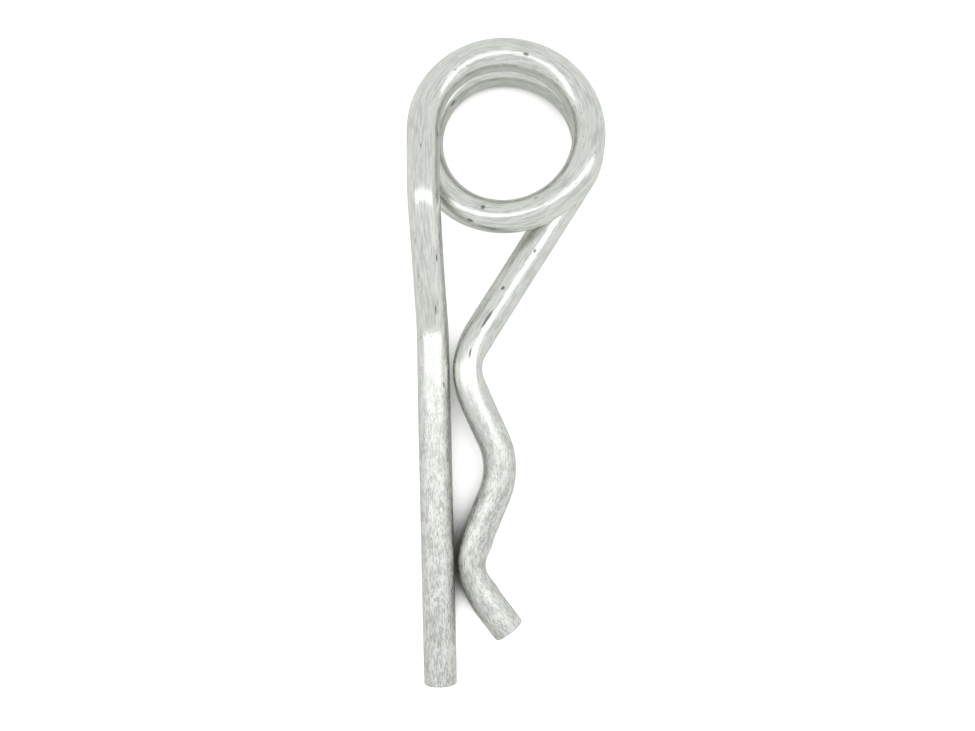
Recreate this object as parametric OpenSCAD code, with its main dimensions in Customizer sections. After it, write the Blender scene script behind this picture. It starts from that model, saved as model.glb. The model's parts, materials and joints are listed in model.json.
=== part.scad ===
// Hitch R clip pin: one length of round spring wire, wound into a double coil, with a straight leg that
// goes through a cross hole and a wavy leg that snaps round the shaft.
//
// The legs' own frame has the straight leg in the plane z = 0 along -Y, the wavy leg on its +X side, and
// the coil's centre on the Z axis. The finished clip is then tipped to lie as it comes to rest, with its
// origin below the middle of its bounding box.

/* [Wire] */
// Diameter of the wire
wire_d = 5; // [4:0.1:6]
// Bevel left round each sheared end
end_bevel = 0.3; // [0.1:0.1:0.8]

/* [Coil] */
// Clear diameter inside the coil
coil_inner_d = 19.9; // [17:0.1:22]
// Gap between one turn and the next
turn_gap = 0.2; // [0.1:0.1:0.8]
// How far the coil's crown leans back from the plane of the legs, in degrees
coil_lean = 11.6; // [8:0.2:14]
// How far the coil rolls down toward the straight leg, in degrees
coil_roll = 3; // [1:0.5:5]

// Radius of the tighter bend by which the wire leaves the coil for the wavy leg, at the wire's centre
exit_bend_r = 9.5; // [7:0.1:12]

/* [Straight leg] */
// Reach of the straight leg, from the coil's centre to its tip
leg_reach = 82.6; // [78:0.2:100]
// How far the leg runs inside the coil's left side
leg_inset = 0.45; // [0:0.05:1]
// Distance below the coil's centre at which the leg starts to step back
step_start = 9.7; // [8:0.1:11]
// Distance below the coil's centre at which the leg has reached the plane of the legs
step_end = 29.1; // [26:0.1:31]
// Bend radius of the step, at the wire's centre
step_bend_r = 10; // [8:0.5:14]

/* [Wavy leg] */
// Gap between each nip and the straight leg
nip_gap = 0.55; // [0.55:0.05:1.5]
// Distance from the coil's centre to the first nip
first_nip = 35.6; // [33:0.1:38]
// Distance between the two nips
nip_spacing = 28.5; // [27:0.1:32]
// How far the crest between the nips stands off from them
crest_rise = 4.15; // [3.6:0.05:5]
// Bend radius of the nips, at the wire's centre
nip_bend_r = 11.9; // [9:0.1:12.5]
// Bend radius of the crest, at the wire's centre
crest_bend_r = 10.7; // [8:0.1:11]
// Length of the flared tip, from the second nip's corner to its end
tip_length = 11.6; // [10:0.1:16]
// Angle of the flared tip to the straight leg, in degrees
tip_angle = 35.8; // [30:0.2:42]
// How far the leg sinks back from the plane of the straight leg, in degrees
wavy_dip = 1.6; // [1.2:0.1:3]

/* [Hidden] */
$fn = 40;

// Extra angle of each bend, cut off again where its end is cut square, in degrees
cut_off = 5;

wire_r = wire_d / 2;
coil_r = coil_inner_d / 2 + wire_r;
// Each half turn lies in a plane of its own. Tilted by turn_tilt, it carries the wire down by half a pitch,
// and at 3 and 9 o'clock it runs level, so that each half turn flows into the next.
turn_tilt = atan((wire_d + turn_gap) / (4 * coil_r));
half_drop = 2 * coil_r * sin(turn_tilt);
coil_side = coil_r * cos(turn_tilt);

// Headings in the plane of the legs are measured from -Y, and grow toward +X.
leg_x = leg_inset - coil_side;
nip_x = leg_x + wire_d + nip_gap;
nip1 = [nip_x + nip_bend_r, -first_nip];
nip2 = [nip_x + nip_bend_r, -first_nip - nip_spacing];
crest = [nip_x + crest_rise - crest_bend_r, -first_nip - nip_spacing / 2];
exit_heading = crossing([0, 0], nip1, coil_r + nip_bend_r, -1);
wave_heading = crossing(nip1, crest, nip_bend_r + crest_bend_r, 1);
corner1 = corner(nip1, nip_bend_r, exit_heading, wave_heading, -1);
corner2 = sunk(corner(crest, crest_bend_r, wave_heading, -wave_heading, 1));
corner3 = sunk(corner(nip2, nip_bend_r, -wave_heading, tip_angle, -1));
tip_heading = about_x([sin(tip_angle), -cos(tip_angle), 0], wavy_dip);
wavy_tip = corner3 + tip_length * tip_heading;

// Height of the coil's centre over the legs, for its last turn to run on in its own plane to corner1
coil_rise = (to_coil(corner1).z - to_coil(corner1).x * tan(turn_tilt) + 2 * half_drop)
    / (to_coil([0, 0, 1]).z - to_coil([0, 0, 1]).x * tan(turn_tilt));
coil_centre = [0, 0, coil_rise];

// In the coil's own frame, the wire enters the coil at 9 o'clock in front and leaves it at 3 o'clock behind
front_side = [-coil_side, 0, 1.5 * half_drop];
rear_side = [coil_side, 0, -1.5 * half_drop];

step_top = coil_centre + from_coil(front_side - [0, step_start, 0]);
step_foot = [leg_x, -step_end, 0];
straight_tip = [leg_x, -leg_reach, 0];

// Lying pose: the clip rests on its rear turn and on both tips
up = settle([0, 0, 1]);
lie_pitch = asin(up.y);
lie_roll = atan2(up.x, up.z);
rest_low = lying(lowest(half_turn_centre(2), half_turn_normal(2), coil_r, up)).z - wire_r;
box_mid_x = (coil_edge(0, 1) + coil_edge(0, -1)) / 2;
box_mid_y = (coil_edge(1, 1) + lying(straight_tip).y - (wire_r - end_bevel) * sin(lie_pitch)) / 2;

// Turn a point about the X, Y or Z axis
function about_x(p, a) = [p.x, p.y * cos(a) - p.z * sin(a), p.y * sin(a) + p.z * cos(a)];
function about_y(p, a) = [p.x * cos(a) + p.z * sin(a), p.y, p.z * cos(a) - p.x * sin(a)];
function about_z(p, a) = [p.x * cos(a) - p.y * sin(a), p.x * sin(a) + p.y * cos(a), p.z];

// The lying pose of a point of the legs' frame
function lying(p) = about_x(about_y(p, -lie_roll), lie_pitch);

// Where the wavy leg's sinking takes a point of its wave
function sunk(p) = corner1 + about_x(p - corner1, wavy_dip);

// A direction of the coil's own frame in the legs' frame, and the other way round
function from_coil(p) = about_y(about_x(p, -coil_lean), -coil_roll);
function to_coil(p) = about_x(about_y(p, coil_roll), coil_lean);

// A point of the legs' frame seen from one side of the coil: +Z runs down that side, and +X inward
function from_side(p, side) =
    let (d = to_coil(p - coil_centre) - side, inward = side.x < 0 ? 1 : -1)
        [inward * d.x, inward * d.z, -d.y];

// Heading of the straight run that crosses over between two bends of opposite hand
function crossing(from, to, radii, hand) =
    let (d = to - from) atan2(d.x, -d.y) + hand * asin(radii / norm(d));

// Sharp corner of the two runs that a bend joins
function corner(centre, r, heading_in, heading_out, side) =
    let (mid = (heading_in + heading_out) / 2, reach = side * r / cos((heading_out - heading_in) / 2))
        [centre.x + reach * cos(mid), centre.y + reach * sin(mid), 0];

// Centre and normal of a half turn. Half turns are counted from the front one.
function half_turn_centre(i) = coil_centre + from_coil([0, 0, (1 - i) * half_drop]);
function half_turn_normal(i) = from_coil(about_y([0, 0, 1], (i % 2 == 0 ? 1 : -1) * turn_tilt));

// Lowest point of a circle about an axis
function lowest(centre, axis, r, up) =
    let (across = up - axis * (up * axis)) centre - across * r / norm(across);

// The direction that is up once the rear turn and both tips touch the same floor
function settle(up, tries = 8) =
    let (turn = lowest(half_turn_centre(2), half_turn_normal(2), coil_r, up) - wire_r * up,
        straight = lowest(straight_tip + [0, end_bevel, 0], [0, 1, 0], wire_r, up),
        wavy = lowest(wavy_tip - end_bevel * tip_heading, tip_heading, wire_r, up),
        floor_normal = cross(straight - turn, wavy - turn))
        tries == 0 ? up : settle(floor_normal / norm(floor_normal), tries - 1);

// Outermost reach of the coil along X (0) or Y (1), toward + or -
function coil_edge(axis, side) =
    side * max([for (i = [0:2])
        let (n = lying(half_turn_normal(i)), c = lying(half_turn_centre(i)))
            side * c[axis] + coil_r * sqrt(1 - n[axis] * n[axis]) + wire_r]);

// Six significant figures of a number
function six(x) = x == 0 ? 0 : let (scale = pow(10, 5 - floor(log(abs(x))))) round(x * scale) / scale;

// The nearest angle whose sine and cosine, to six figures, are still a true rotation. Each piece of the
// wire is placed from the end of the one before, and with such turns their ends meet exactly.
function true_turn(a) =
    let (near = [for (i = [0:2000])
        let (t = a + (i % 2 == 0 ? 1 : -1) * i * 0.0001)
            if (abs(pow(six(sin(t)), 2) + pow(six(cos(t)), 2) - 1) < 1e-8) t])
        len(near) > 0 ? near[0] : a;

// Where the wire goes on after a bend that starts at the origin along +Z and turns toward +X
module after_bend(r, turn) {
    translate([r, 0, 0])
        rotate([0, turn, 0])
            translate([-r, 0, 0])
                children();
}

// A round bend, cut square at its end, with the rest of the wire after it
module bend(r, turn) {
    difference() {
        translate([r, 0, 0])
            rotate([90, 0, 180])
                rotate_extrude(angle = turn + cut_off)
                    translate([r, 0])
                        circle(wire_r);
        after_bend(r, turn)
            translate([-wire_d, -wire_d, 0])
                cube(2 * wire_d);
    }
    after_bend(r, turn)
        children();
}

// Turns the wire's frame from the plane of one half turn of the coil to that of the next
module next_turn() {
    rotate([0, 0, true_turn(2 * turn_tilt)])
        children();
}

// How far a bend that starts at the origin along +Z turns before it points at p
function turn_toward(p, r) =
    let (from_centre = [r - norm([p.x, p.y]), p.z])
        atan2(from_centre.y, from_centre.x) - acos(r / norm(from_centre));

// The same points, seen from the end of a run and a bend
function beyond(points, run, roll, r, turn) =
    [for (p = points)
        about_y(about_z(p - [0, 0, run], -roll) - [r, 0, 0], -turn) + [r, 0, 0]];

// Wire that starts at the origin along +Z and follows corner points, with a round bend at each.
// The first corner is straight ahead, and the last point is the sheared end.
module wire(points, radii) {
    ahead = points[0].z;
    if (len(points) == 1) {
        cylinder(h = ahead - end_bevel, r = wire_r);
        translate([0, 0, ahead - end_bevel])
            cylinder(h = end_bevel, r1 = wire_r, r2 = wire_r - end_bevel);
    } else {
        to_next = points[1] - points[0];
        turn = true_turn(acos(to_next.z / norm(to_next)));
        roll = true_turn(atan2(to_next.y, to_next.x));
        run = ahead - radii[0] * tan(turn / 2);
        cylinder(h = run, r = wire_r);
        translate([0, 0, run])
            rotate([0, 0, roll])
                bend(radii[0], turn)
                    wire(beyond([for (i = [1:len(points) - 1]) points[i]], run, roll, radii[0], turn),
                        [for (i = [1:1:len(radii) - 1]) radii[i]]);
    }
}

// The wire runs both ways from the coil's 9 o'clock: down into the straight leg, and up round the coil
module r_clip() {
    leg = [for (p = [step_top, step_foot, straight_tip]) from_side(p, front_side)];
    corners = [for (p = [corner1, corner2, corner3, wavy_tip]) from_side(p, rear_side)];
    wave = beyond(corners, 0, turn_tilt, 0, 0);
    exit_turn = true_turn(turn_toward(wave[0], exit_bend_r));
    color("lightgray")
        translate([-box_mid_x, -box_mid_y, -rest_low])
            rotate([lie_pitch, 0, 0]) rotate([0, -lie_roll, 0])
                translate(coil_centre) rotate([-coil_lean, -coil_roll, 0]) translate(front_side) {
                    rotate([90, 0, 0])
                        wire(leg, [step_bend_r, step_bend_r]);
                    rotate([-90, true_turn(turn_tilt), 0])
                        bend(coil_r, 180) next_turn()
                        bend(coil_r, 180) next_turn()
                        bend(coil_r, 180) next_turn()
                        bend(exit_bend_r, exit_turn)
                            wire(beyond(wave, 0, 0, exit_bend_r, exit_turn),
                                [nip_bend_r, crest_bend_r, nip_bend_r]);
                }
}

r_clip();
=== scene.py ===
# Hitch R clip pin: one length of galvanised spring wire, formed into a coiled head, a straight leg for a
# cross hole and a wavy leg that snaps round the shaft. It lies on a pale table under soft studio light.
import json
from math import acos, asin, atan, atan2, cos, degrees, hypot, pi, radians, sin, tan
import bpy
from mathutils import Matrix, Vector, kdtree, noise


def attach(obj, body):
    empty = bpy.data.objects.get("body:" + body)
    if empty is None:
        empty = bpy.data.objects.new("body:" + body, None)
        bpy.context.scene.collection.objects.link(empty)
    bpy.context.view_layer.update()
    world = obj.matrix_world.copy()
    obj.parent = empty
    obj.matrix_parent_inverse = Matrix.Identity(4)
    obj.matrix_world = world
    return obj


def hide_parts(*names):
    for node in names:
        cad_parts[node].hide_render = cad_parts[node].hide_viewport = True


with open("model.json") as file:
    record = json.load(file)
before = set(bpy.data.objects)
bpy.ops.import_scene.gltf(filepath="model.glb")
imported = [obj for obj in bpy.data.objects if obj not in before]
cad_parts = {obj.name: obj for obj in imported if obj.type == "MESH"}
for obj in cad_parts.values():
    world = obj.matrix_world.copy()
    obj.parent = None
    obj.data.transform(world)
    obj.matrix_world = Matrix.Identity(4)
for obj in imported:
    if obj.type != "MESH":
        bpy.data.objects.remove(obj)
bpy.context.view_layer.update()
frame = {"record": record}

MM = 0.001                   # metres in a millimetre

# ---------------------------------------------------------------- sizes of the clip, in mm and degrees
WIRE_D = 5                   # the drawn wire
SHEARED_RIM = 0.3            # the worn rim of each sheared end
COIL_INNER_D = 19.9          # clear inside the coil
TURN_GAP = 0.2               # between one turn and the next
COIL_LEAN = 11.6             # how far the coil's crown leans back from the legs
COIL_ROLL = 3                # how far the coil rolls down toward the straight leg
EXIT_BEND_R = 9.5            # the tighter bend out of the coil
LEG_REACH = 82.6             # from the coil's centre to the straight leg's tip
LEG_INSET = 0.45             # how far the straight leg runs inside the coil's side
STEP_START = 9.7             # below the coil's centre, where the leg starts to step back
STEP_END = 29.1              # and where it has reached the plane of the legs
STEP_BEND_R = 10
NIP_GAP = 0.55               # between each nip and the straight leg
FIRST_NIP = 35.6             # from the coil's centre
NIP_SPACING = 28.5
CREST_RISE = 4.15            # how far the crest stands off from the nips
NIP_BEND_R = 11.9
CREST_BEND_R = 10.7
TIP_LENGTH = 11.6            # from the second nip's corner to the flared tip's end
TIP_ANGLE = 35.8
WAVY_DIP = 1.6               # how far the wavy leg sinks back from the straight leg's plane

# ---------------------------------------------------------------- what forming and wear leave on it, in mm
TIP_ROOM = 0.08              # room for the slight dome of the straight leg's end
STRAIGHT_DOME = 0.07         # how far that end swells past its rim
FLARED_DOME = 0.21           # and the flared tip's end
# The nips are pressed: their inner side is thinner and its corner sharper than the outer bend, and their
# outer side spreads a little. Which bend, counted back from the flared tip, then the depth inside, the
# spread outside and the reach along the wire
NIP_PRESS = ((-3, 0.72, 0.20, 4.8), (-1, 0.85, 0.24, 4.4))
# The step is drawn a little thinner by its forming tool: middle and half length from the tip, and depth
STEP_MIDDLE, STEP_REACH, STEP_THINNED = 62.0, 24.0, 0.10
RELIEF = 0.022               # how deep the zinc's ripples go
RIPPLES_ALONG, RIPPLES_ROUND = 0.35, 1.6         # to a millimetre along the wire, and about its centre
FACE_MIDDLE = 0.3            # the middle of a sheared face, which the ripples leave alone
# The zinc is rough from a tip to the first length, and smooth from the second
STRAIGHT_DRAINED = (34.0, 62.0)
FLARED_DRAINED = (22.0, 48.0)
# Dark nicks where the formed wire was knocked: direction round the wire from the mark on its side, in
# degrees, length from the straight tip, half length and half width
NICKS = (
    (-58, 64.47, 0.55, 0.14), (-75, 56.76, 0.75, 0.12), (-63, 232.87, 1.60, 0.22), (-60, 238.44, 0.70, 0.16),
    (-52, 227.60, 0.35, 0.25), (-77, 220.25, 0.35, 0.22), (-71, 145.90, 0.35, 0.35),
    (-128, 147.28, 0.45, 0.22), (-13, 169.69, 0.80, 0.16), (-30, 82.65, 0.40, 0.20),
    (-99, 80.39, 0.40, 0.07), (-75, 106.35, 0.50, 0.25), (-55, 44.98, 0.50, 0.12),
)

# ---------------------------------------------------------------- the mesh
SIDES = 64                   # facets round the wire
RING_STEP = 0.3              # mm between the rings along it
FEWEST_RINGS = 4             # in a bend
RIM_RINGS, FACE_RINGS = 4, 6                     # round a sheared end's rim and over its face
FACE_HOLE = 0.02             # mm, the last ring of the face, before it closes to a point
MERGE = 0.01 * MM


# ---------------------------------------------------------------- the clip's route, in the legs' own frame
def turned(axis, angle):
    """A turn about the X, Y or Z axis."""
    return Matrix.Rotation(radians(angle), 3, axis)


def crossing(start, end, radii, hand):
    """Heading of the straight run that crosses over between two bends of opposite hand."""
    across = end - start
    return degrees(atan2(across.x, -across.y) + hand * asin(radii / across.length))


def corner(centre, radius, heading_in, heading_out, side):
    """Sharp corner of the two runs that a bend joins."""
    middle = radians(heading_in + heading_out) / 2
    reach = side * radius / cos(radians(heading_out - heading_in) / 2)
    return centre + reach * Vector((cos(middle), sin(middle), 0))


def lowest(centre, axis, radius, up):
    """Lowest point of a circle about an axis."""
    return centre - radius * (up - axis * up.dot(axis)).normalized()


# The straight leg runs along -Y, and the coil's centre is on the Z axis. Headings grow from -Y toward +X.
wire_r = WIRE_D / 2
coil_r = COIL_INNER_D / 2 + wire_r
# Each half turn lies in a plane of its own, tilted so that it carries the wire down by half a pitch.
turn_tilt = degrees(atan((WIRE_D + TURN_GAP) / (4 * coil_r)))
half_drop = 2 * coil_r * sin(radians(turn_tilt))
coil_side = coil_r * cos(radians(turn_tilt))
coil_lies = turned("Y", -COIL_ROLL) @ turned("X", -COIL_LEAN)

leg_x = LEG_INSET - coil_side
nip_x = leg_x + WIRE_D + NIP_GAP
nip1 = Vector((nip_x + NIP_BEND_R, -FIRST_NIP, 0))
nip2 = Vector((nip_x + NIP_BEND_R, -FIRST_NIP - NIP_SPACING, 0))
crest = Vector((nip_x + CREST_RISE - CREST_BEND_R, -FIRST_NIP - NIP_SPACING / 2, 0))
exit_heading = crossing(Vector((0, 0, 0)), nip1, coil_r + NIP_BEND_R, -1)
wave_heading = crossing(nip1, crest, NIP_BEND_R + CREST_BEND_R, 1)
dip = turned("X", WAVY_DIP)
corner1 = corner(nip1, NIP_BEND_R, exit_heading, wave_heading, -1)
corner2 = corner1 + dip @ (corner(crest, CREST_BEND_R, wave_heading, -wave_heading, 1) - corner1)
corner3 = corner1 + dip @ (corner(nip2, NIP_BEND_R, -wave_heading, TIP_ANGLE, -1) - corner1)
tip_heading = dip @ Vector((sin(radians(TIP_ANGLE)), -cos(radians(TIP_ANGLE)), 0))
flared_tip = corner3 + TIP_LENGTH * tip_heading

# The coil stands as high over the legs as its last turn needs to run on in its own plane to corner1.
last_plane = coil_lies @ Vector((-tan(radians(turn_tilt)), 0, 1))
coil_centre = Vector((0, 0, (last_plane.dot(corner1) + 2 * half_drop) / last_plane.z))
coil_start = coil_centre + coil_lies @ Vector((-coil_side, 0, 1.5 * half_drop))
step_top = coil_start - coil_lies @ Vector((0, STEP_START, 0))
step_foot = Vector((leg_x, -STEP_END, 0))
straight_tip = Vector((leg_x, -LEG_REACH, 0))
leg_heading = Vector((0, -1, 0))


def half_turn_centre(number):
    """Centre of a half turn. Half turns are counted from the front one."""
    return coil_centre + coil_lies @ Vector((0, 0, (1 - number) * half_drop))


# It lies on its rear turn and on both tips. The direction that is up settles after a few rounds.
rear_turn_axis = coil_lies @ turned("Y", turn_tilt) @ Vector((0, 0, 1))
up = Vector((0, 0, 1))
for _ in range(9):
    on_turn = lowest(half_turn_centre(2), rear_turn_axis, coil_r, up) - wire_r * up
    on_straight = lowest(straight_tip - SHEARED_RIM * leg_heading, leg_heading, wire_r, up)
    on_flared = lowest(flared_tip - SHEARED_RIM * tip_heading, tip_heading, wire_r, up)
    up = (on_straight - on_turn).cross(on_flared - on_turn).normalized()
lies = turned("X", degrees(asin(up.y))) @ turned("Y", -degrees(atan2(up.x, up.z)))

pin = next(mount for mount in frame["record"]["mounts"] if mount["name"] == "straight_leg")
pin_end = pin["dims"]["length_mm"] / 2 + SHEARED_RIM
leg_tip = Vector(pin["pos_m"]) + Vector(pin["axis"]).normalized() * pin_end * MM
leg_tip.z = (lies @ (straight_tip - on_turn)).z * MM             # the rear turn touches the table, z = 0


def in_place(point):
    """Where a point of the legs' own frame lies in the shared one, in metres."""
    return leg_tip + lies @ (point - straight_tip) * MM


# ---------------------------------------------------------------- forming the wire
def deselect_all():
    if bpy.context.object and bpy.context.object.mode != "OBJECT":
        bpy.ops.object.mode_set(mode="OBJECT")
    bpy.ops.object.select_all(action="DESELECT")


class Former:
    """Extrudes and spins the wire from a ring, and keeps its centre line as it goes.

    The heading is the way that the wire is fed. The mark on its side starts level, toward +X, and is
    carried along the wire without twisting.
    """

    def __init__(self, start, heading):
        self.point, self.heading, self.length = start.copy(), heading.normalized(), 0.0
        level = Vector((1, 0, 0))
        self.mark = (level - self.heading * level.dot(self.heading)).normalized()
        self.stations, self.bends = [], []
        self.note_station()
        beside = self.heading.cross(self.mark)
        ring_faces = Matrix((self.mark, beside, self.heading)).transposed()
        bpy.ops.mesh.primitive_circle_add(vertices=SIDES, radius=wire_r * MM, location=self.point,
                                          rotation=ring_faces.to_euler(), enter_editmode=True)

    def note_station(self):
        self.stations.append((self.point.copy(), self.heading.copy(), self.mark.copy(), self.length))

    def feed(self, run):
        """A straight run, in mm."""
        steps = max(1, round(run / RING_STEP))
        bpy.ops.mesh.extrude_repeat(steps=steps, offset=self.heading * (run * MM / steps))
        for _ in range(steps):
            self.point += self.heading * (run * MM / steps)
            self.length += run / steps
            self.note_station()

    def bend(self, side, radius, turn):
        """A round bend toward one side, of a radius in mm, that turns so many radians."""
        steps = max(FEWEST_RINGS, round(radius * turn / RING_STEP))
        centre, axis = self.point + side * radius * MM, self.heading.cross(side)
        bpy.ops.mesh.spin(steps=steps, angle=-turn, center=centre, axis=axis)
        step = Matrix.Rotation(turn / steps, 3, axis)
        start = self.length
        for _ in range(steps):
            self.point = centre + step @ (self.point - centre)
            self.heading, self.mark = step @ self.heading, step @ self.mark
            self.length += radius * turn / steps
            self.note_station()
        middle = self.stations[-1 - steps // 2][0]
        self.bends.append(((start + self.length) / 2, (centre - middle).normalized()))

    def follow(self, corners, radii):
        """Runs from corner to corner, with a round bend at each but the last."""
        for here, onward, radius in zip(corners, corners[1:], radii):
            ahead = onward - here
            turn = self.heading.angle(ahead)
            side = (ahead - self.heading * ahead.dot(self.heading)).normalized()
            self.feed((here - self.point).length / MM - radius * tan(turn / 2))
            self.bend(side, radius, turn)
        self.feed((corners[-1] - self.point).length / MM)

    def bend_to_face(self, target, side, radius):
        """A bend toward one side that turns until the wire heads for a point in its plane."""
        ahead = (target - self.point).dot(self.heading) / MM
        from_centre = radius - (target - self.point).dot(side) / MM
        self.bend(side, radius, atan2(ahead, from_centre) - acos(radius / hypot(ahead, from_centre)))


def close_end(outward, dome):
    """Closes the selected open ring with a worn rim and a face that swells slightly."""
    rings = []
    for i in range(1, RIM_RINGS + 1):
        angle = pi / 2 * i / RIM_RINGS
        rings.append((wire_r - SHEARED_RIM * (1 - cos(angle)), SHEARED_RIM * sin(angle)))
    for i in range(1, FACE_RINGS + 1):
        inward = i / FACE_RINGS
        face_r = (wire_r - SHEARED_RIM) * (1 - inward)
        rings.append((max(face_r, FACE_HOLE), SHEARED_RIM + dome * (1 - (1 - inward) ** 2)))
    last_r, last_h = wire_r, 0.0
    for r, h in rings:
        bpy.ops.mesh.extrude_region_move(TRANSFORM_OT_translate={"value": outward * (h - last_h) * MM})
        bpy.ops.transform.resize(value=(r / last_r,) * 3)
        last_r, last_h = r, h
    bpy.ops.mesh.merge(type="CENTER")


def form_wire():
    """Feeds the wire from the straight tip: the leg, its step, the coil, the wavy leg, then both ends."""
    deselect_all()
    inward = lies @ -leg_heading
    former = Former(leg_tip + inward * (SHEARED_RIM + TIP_ROOM) * MM, inward)
    former.follow([in_place(p) for p in (step_foot, step_top, coil_start)], [STEP_BEND_R] * 2)
    for number in range(3):
        former.bend((in_place(half_turn_centre(number)) - former.point).normalized(), coil_r, pi)
    out_of_coil = (in_place(half_turn_centre(3)) - former.point).normalized()
    former.bend_to_face(in_place(corner1), out_of_coil, EXIT_BEND_R)
    rim = flared_tip - tip_heading * SHEARED_RIM
    former.follow([in_place(p) for p in (corner1, corner2, corner3, rim)],
                  [NIP_BEND_R, CREST_BEND_R, NIP_BEND_R])
    close_end(former.heading, FLARED_DOME)
    bpy.ops.mesh.select_non_manifold(extend=False, use_wire=False, use_boundary=True,
                                     use_multi_face=False, use_non_contiguous=False, use_verts=False)
    close_end(-inward, STRAIGHT_DOME)
    bpy.ops.mesh.select_all(action="SELECT")
    bpy.ops.mesh.remove_doubles(threshold=MERGE)
    bpy.ops.mesh.normals_make_consistent(inside=False)
    bpy.ops.object.mode_set(mode="OBJECT")
    bpy.ops.object.transform_apply(location=True, rotation=True, scale=True)
    wire = bpy.context.object
    wire.name = wire.data.name = "r_clip_wire"
    return wire, former


def fade(distance):
    """1 at 0, falling smoothly to 0 at 1 and beyond."""
    return (1 - min(abs(distance), 1.0) ** 2) ** 2


def pressed_in(former, outward, mark, beside, length):
    """How far forming and the zinc's ripples take the surface in at one place, mm."""
    pressed = STEP_THINNED * fade((length - STEP_MIDDLE) / STEP_REACH)
    for number, depth, spread, reach in NIP_PRESS:
        middle, inward = former.bends[number]
        facing = outward.dot(inward)
        here = depth * facing ** 1.5 if facing > 0 else -spread * facing ** 2
        pressed += here * fade((length - middle) / reach)
    ripple = noise.noise(Vector((outward.dot(mark) * RIPPLES_ROUND, outward.dot(beside) * RIPPLES_ROUND,
                                 length * RIPPLES_ALONG)))
    return pressed + RELIEF * (1 + ripple) / 2


def press_wire(wire, former):
    """Presses the nips, thins the step and ripples the zinc.

    Each point also keeps its place on the wire as if it were straight, for the patterns of the zinc:
    toward the mark, beside it, and along the wire from the straight tip, mm.
    """
    centre_line = kdtree.KDTree(len(former.stations))
    for i, (point, _, _, _) in enumerate(former.stations):
        centre_line.insert(point, i)
    centre_line.balance()
    straight_wire = wire.data.attributes.new("straight_wire", "FLOAT_VECTOR", "POINT")
    for vertex in wire.data.vertices:
        point, heading, mark, length = former.stations[centre_line.find(vertex.co)[1]]
        beside = heading.cross(mark)
        along = (vertex.co - point).dot(heading)
        off_centre = vertex.co - point - heading * along
        length += along / MM
        radius = off_centre.length / MM
        if radius > FACE_MIDDLE:
            outward = off_centre.normalized()
            depth = pressed_in(former, outward, mark, beside, length)
            vertex.co -= outward * depth * MM * min(radius / wire_r, 1.0)
        straight_wire.data[vertex.index].vector = (
            off_centre.dot(mark) / MM, off_centre.dot(beside) / MM, length)
    wire.data.update()
    deselect_all()
    wire.select_set(True)
    bpy.context.view_layer.objects.active = wire
    bpy.ops.object.shade_smooth()


# ---------------------------------------------------------------- materials
MIX_A, MIX_B, MIX_COLOUR = 6, 7, 2               # the two colours of a Mix node, and the one it gives
COLOUR_MIX = {"data_type": "RGBA", "output": MIX_COLOUR}
SMOOTH = {"interpolation_type": "SMOOTHSTEP"}


def linear(hex_colour):
    """An sRGB hex colour as the linear values that a shader takes."""
    parts = [int(hex_colour[i:i + 2], 16) / 255 for i in (1, 3, 5)]
    return [c / 12.92 if c <= 0.04045 else ((c + 0.055) / 1.055) ** 2.4 for c in parts] + [1.0]


def add(owner, kind, inputs=None, output=0, **settings):
    """Adds a node to a material or the world, and gives one of its outputs.

    Settings are the node's own. Inputs go by name or number: each is a constant, or another node's
    output to link.
    """
    tree = owner.node_tree
    node = tree.nodes.new(kind)
    for name, value in settings.items():
        setattr(node, name, value)
    for name, value in (inputs or {}).items():
        if isinstance(value, bpy.types.NodeSocket):
            tree.links.new(value, node.inputs[name])
        else:
            node.inputs[name].default_value = value
    return node.outputs[output] if node.outputs else None


def emptied(owner):
    """A material or the world, with no nodes yet."""
    owner.use_nodes = True
    owner.node_tree.nodes.clear()
    return owner


def patches(zinc, on_wire, wide, long, detail, roughness, shift=0.0):
    """Noise with patches about so many mm wide round the wire and so many long along it."""
    place = add(zinc, "ShaderNodeMapping",
                {"Vector": on_wire, "Scale": (1 / wide, 1 / wide, 1 / long), "Location": (shift,) * 3})
    return add(zinc, "ShaderNodeTexNoise",
               {"Vector": place, "Scale": 1.0, "Detail": detail, "Roughness": roughness}, output="Fac")


def with_nicks(zinc, on_wire, dark):
    """Adds each nick to the share of dark, as a spot with a soft edge."""
    for angle, length, half_length, half_width in NICKS:
        middle = (wire_r * cos(radians(angle)), wire_r * sin(radians(angle)), length)
        off = add(zinc, "ShaderNodeVectorMath", {0: on_wire, 1: middle}, operation="SUBTRACT")
        off = add(zinc, "ShaderNodeVectorMath", {0: off, 1: (half_width, half_width, half_length)},
                  operation="DIVIDE")
        away = add(zinc, "ShaderNodeVectorMath", {0: off}, output="Value", operation="LENGTH")
        spot = add(zinc, "ShaderNodeMapRange",
                   {"Value": away, "From Min": 0.6, "From Max": 1.3, "To Min": 0.8, "To Max": 0.0}, **SMOOTH)
        dark = add(zinc, "ShaderNodeMath", {0: dark, 1: spot}, operation="MAXIMUM")
    return dark


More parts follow.
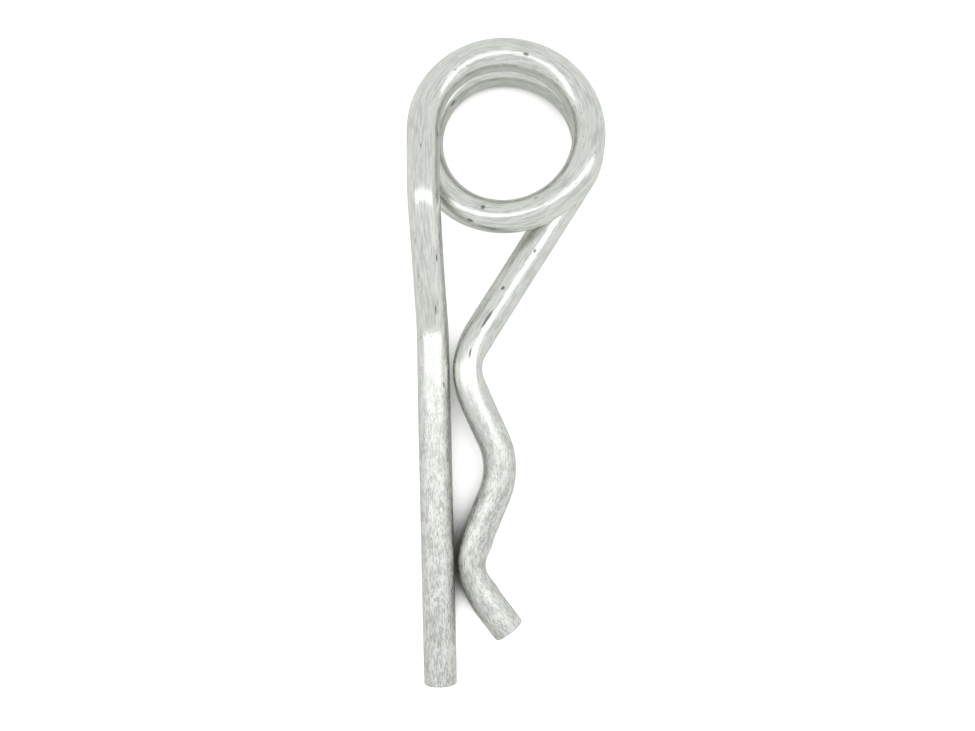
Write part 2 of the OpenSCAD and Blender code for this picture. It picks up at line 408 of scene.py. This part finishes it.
def galvanised_spring_steel(wire_length):
    """Hot-dip zinc on drawn wire: a pale, slightly green silver.

    The zinc flowed and froze in short streaks along the wire, which catch the light as a fine mottle.
    Towards the two tips, where it drained, it is rougher, with bright and grey flecks. The finest streaks
    and flecks of real zinc, about 0.1 mm wide, are too fine to show, and are drawn 0.2 to 0.3 mm wide.
    """
    zinc = emptied(bpy.data.materials.new("galvanised_spring_steel"))
    on_wire = add(zinc, "ShaderNodeAttribute", output="Vector", attribute_name="straight_wire")
    from_tip = add(zinc, "ShaderNodeSeparateXYZ", {"Vector": on_wire}, output="Z")
    blotches = patches(zinc, on_wire, 2.6, 5.0, 3.0, 0.55)
    streaks = patches(zinc, on_wire, 0.30, 2.4, 3.0, 0.62, 11.3)
    clumps = patches(zinc, on_wire, 0.9, 2.2, 2.0, 0.5, 31.1)
    flecks = patches(zinc, on_wire, 0.21, 0.95, 5.0, 0.70, 23.7)
    specks = patches(zinc, on_wire, 0.5, 1.2, 1.0, 0.4, 41.9)

    # how far the zinc drained, at either tip
    rough, smooth = STRAIGHT_DRAINED
    near_straight_tip = add(zinc, "ShaderNodeMapRange", {
        "Value": from_tip, "From Min": rough, "From Max": smooth, "To Min": 1.0, "To Max": 0.0}, **SMOOTH)
    rough, smooth = FLARED_DRAINED
    near_flared_tip = add(zinc, "ShaderNodeMapRange", {
        "Value": from_tip, "From Min": wire_length - smooth, "From Max": wire_length - rough}, **SMOOTH)
    drained = add(zinc, "ShaderNodeMath", {0: near_straight_tip, 1: near_flared_tip}, operation="MAXIMUM")

    # pale streaks, with a white bloom in blotches
    pale = add(zinc, "ShaderNodeMapRange", {"Value": streaks, "From Min": 0.36, "From Max": 0.62}, **SMOOTH)
    mottle = add(zinc, "ShaderNodeMix",
                 {"Factor": pale, MIX_A: linear("#CACDC7"), MIX_B: linear("#E7E9E4")}, **COLOUR_MIX)
    bloom = add(zinc, "ShaderNodeMapRange",
                {"Value": blotches, "From Min": 0.38, "From Max": 0.66, "To Max": 0.5}, **SMOOTH)
    mottle = add(zinc, "ShaderNodeMix",
                 {"Factor": bloom, MIX_A: mottle, MIX_B: linear("#EBEEE8")}, **COLOUR_MIX)

    # grey and bright flecks, gathered in clumps, where it drained
    gathered = add(zinc, "ShaderNodeMath", {0: clumps, 1: 0.5}, operation="SUBTRACT")
    gathered = add(zinc, "ShaderNodeMath", {0: gathered, 1: 0.4, 2: flecks}, operation="MULTIPLY_ADD")
    bright = add(zinc, "ShaderNodeMapRange",
                 {"Value": gathered, "From Min": 0.38, "From Max": 0.60}, **SMOOTH)
    flecked = add(zinc, "ShaderNodeMix",
                  {"Factor": bright, MIX_A: linear("#AEB0AA"), MIX_B: linear("#ECEDE9")}, **COLOUR_MIX)
    flecked_share = add(zinc, "ShaderNodeMath", {0: drained, 1: 0.75}, operation="MULTIPLY")
    colour = add(zinc, "ShaderNodeMix",
                 {"Factor": flecked_share, MIX_A: mottle, MIX_B: flecked}, **COLOUR_MIX)

    # a few small dark specks, and the nicks
    dark = add(zinc, "ShaderNodeMapRange",
               {"Value": specks, "From Min": 0.735, "From Max": 0.775, "To Max": 0.5}, **SMOOTH)
    dark = with_nicks(zinc, on_wire, dark)
    colour = add(zinc, "ShaderNodeMix",
                 {"Factor": dark, MIX_A: colour, MIX_B: linear("#5F6058")}, **COLOUR_MIX)

    # satin, and duller where it drained
    satin = add(zinc, "ShaderNodeMapRange", {
        "Value": streaks, "From Min": 0.3, "From Max": 0.7, "To Min": 0.17, "To Max": 0.28}, **SMOOTH)
    dulled = add(zinc, "ShaderNodeMapRange", {
        "Value": flecks, "From Min": 0.35, "From Max": 0.65, "To Min": 0.02, "To Max": 0.16}, **SMOOTH)
    dulled = add(zinc, "ShaderNodeMath", {0: dulled, 1: drained}, operation="MULTIPLY")
    sheen = add(zinc, "ShaderNodeMath", {0: satin, 1: dulled}, operation="ADD")

    # streaks and flecks stand up by a few hundredths of a millimetre
    ridges = add(zinc, "ShaderNodeMath", {0: streaks, 1: 0.6}, operation="MULTIPLY")
    crust = add(zinc, "ShaderNodeMath", {0: drained, 1: 1.3, 2: 0.35}, operation="MULTIPLY_ADD")
    crust = add(zinc, "ShaderNodeMath", {0: flecks, 1: crust}, operation="MULTIPLY")
    height = add(zinc, "ShaderNodeMath", {0: ridges, 1: crust}, operation="ADD")
    relief = add(zinc, "ShaderNodeBump", {"Height": height, "Strength": 1.0, "Distance": 0.04 * MM})
    surface = add(zinc, "ShaderNodeBsdfPrincipled",
                  {"Base Color": colour, "Roughness": sheen, "Normal": relief, "Metallic": 1.0})
    add(zinc, "ShaderNodeOutputMaterial", {"Surface": surface})
    return zinc


def matt_white_paper():
    """Smooth matt card: white where it is open to the room, and grey close under the wire, partly from real
    shade and partly from a painted shade that darkens its colour by ambient occlusion.
    """
    paper = emptied(bpy.data.materials.new("matt_white_paper"))
    open_sky = add(paper, "ShaderNodeAmbientOcclusion", {"Distance": 15 * MM}, output="AO", samples=32)
    # painted shade: the card's colour is mixed toward dark grey where ambient occlusion finds it shut in,
    # close under the wire and in the narrow gaps between the legs
    clear_of_painted_shade = add(paper, "ShaderNodeMapRange", {"Value": open_sky, "From Min": 0.14, "From Max": 0.32}, **SMOOTH)
    painted_shade_tone = add(paper, "ShaderNodeMix",
               {"Factor": clear_of_painted_shade, MIX_A: linear("#6C6D66"), MIX_B: linear("#F2F2F0")}, **COLOUR_MIX)
    matt = add(paper, "ShaderNodeBsdfDiffuse", {"Color": painted_shade_tone})
    # only the camera sees the open card lifted to the white of the backdrop
    lift = add(paper, "ShaderNodeMapRange",
               {"Value": open_sky, "From Min": 0.22, "From Max": 0.44, "To Max": 0.6}, **SMOOTH)
    seen = add(paper, "ShaderNodeLightPath", output="Is Camera Ray")
    lift = add(paper, "ShaderNodeMath", {0: lift, 1: seen}, operation="MULTIPLY")
    glow = add(paper, "ShaderNodeEmission", {"Strength": lift, "Color": linear("#FFFFFF")})
    surface = add(paper, "ShaderNodeAddShader", {0: matt, 1: glow})
    add(paper, "ShaderNodeOutputMaterial", {"Surface": surface})
    return paper


# ---------------------------------------------------------------- table, light and camera
def lay_table():
    deselect_all()
    bpy.ops.mesh.primitive_plane_add(size=1.6, location=(0, 0, 0))
    table = bpy.context.object
    table.name = "table"
    table.data.materials.append(matt_white_paper())


def light_room():
    """A pale room all round, which the camera sees as white."""
    scene = bpy.context.scene
    scene.world = scene.world or bpy.data.worlds.new("studio")
    world = emptied(scene.world)
    room = add(world, "ShaderNodeBackground", {"Color": linear("#F7F8F8"), "Strength": 0.88})
    backdrop = add(world, "ShaderNodeBackground", {"Color": linear("#FFFFFF"), "Strength": 1.0})
    seen = add(world, "ShaderNodeLightPath", output="Is Camera Ray")
    sky = add(world, "ShaderNodeMixShader", {"Fac": seen, 1: room, 2: backdrop})
    add(world, "ShaderNodeOutputWorld", {"Surface": sky})


def softbox(name, place, width, length, watts):
    """A long soft lamp that faces the clip, in metres."""
    bpy.ops.object.light_add(type="AREA", location=place)
    lamp = bpy.context.object
    lamp.name = name
    lamp.data.shape, lamp.data.size, lamp.data.size_y = "RECTANGLE", width, length
    lamp.data.energy = watts
    lamp.rotation_euler = (-Vector(place)).to_track_quat("-Z", "Y").to_euler()


def place_camera(eye, aim, roll, lens):
    """Looks from one point to another, in mm, with the picture's top turned from +Y toward +X."""
    data = bpy.data.cameras.new("camera")
    camera = bpy.data.objects.new("camera", data)
    bpy.context.collection.objects.link(camera)
    back = (Vector(eye) - Vector(aim)).normalized()
    right = Vector((sin(radians(roll)), cos(radians(roll)), 0)).cross(back).normalized()
    faces = Matrix((right, back.cross(right), back)).transposed()
    camera.matrix_world = Matrix.Translation(Vector(eye) * MM) @ faces.to_4x4()
    data.sensor_width, data.lens = 36.0, lens
    data.clip_start, data.clip_end = 0.01, 10.0
    bpy.context.scene.camera = camera


# ---------------------------------------------------------------- the clip on its table
wire, former = form_wire()
press_wire(wire, former)
wire.data.materials.clear()
wire.data.materials.append(galvanised_spring_steel(former.length))
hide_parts("r_clip")
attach(wire, "root")

lay_table()
light_room()
softbox("softbox_left", (-0.36, 0.0, 0.48), 0.15, 0.7, 0.40)
softbox("softbox_right", (0.28, 0.0, 0.52), 0.15, 0.7, 0.40)
place_camera(eye=(-16.688, -9.666, 184.776), aim=(-3.397, -0.467, 0.0), roll=1.490, lens=43.865)
bpy.context.scene.view_settings.view_transform = "Standard"
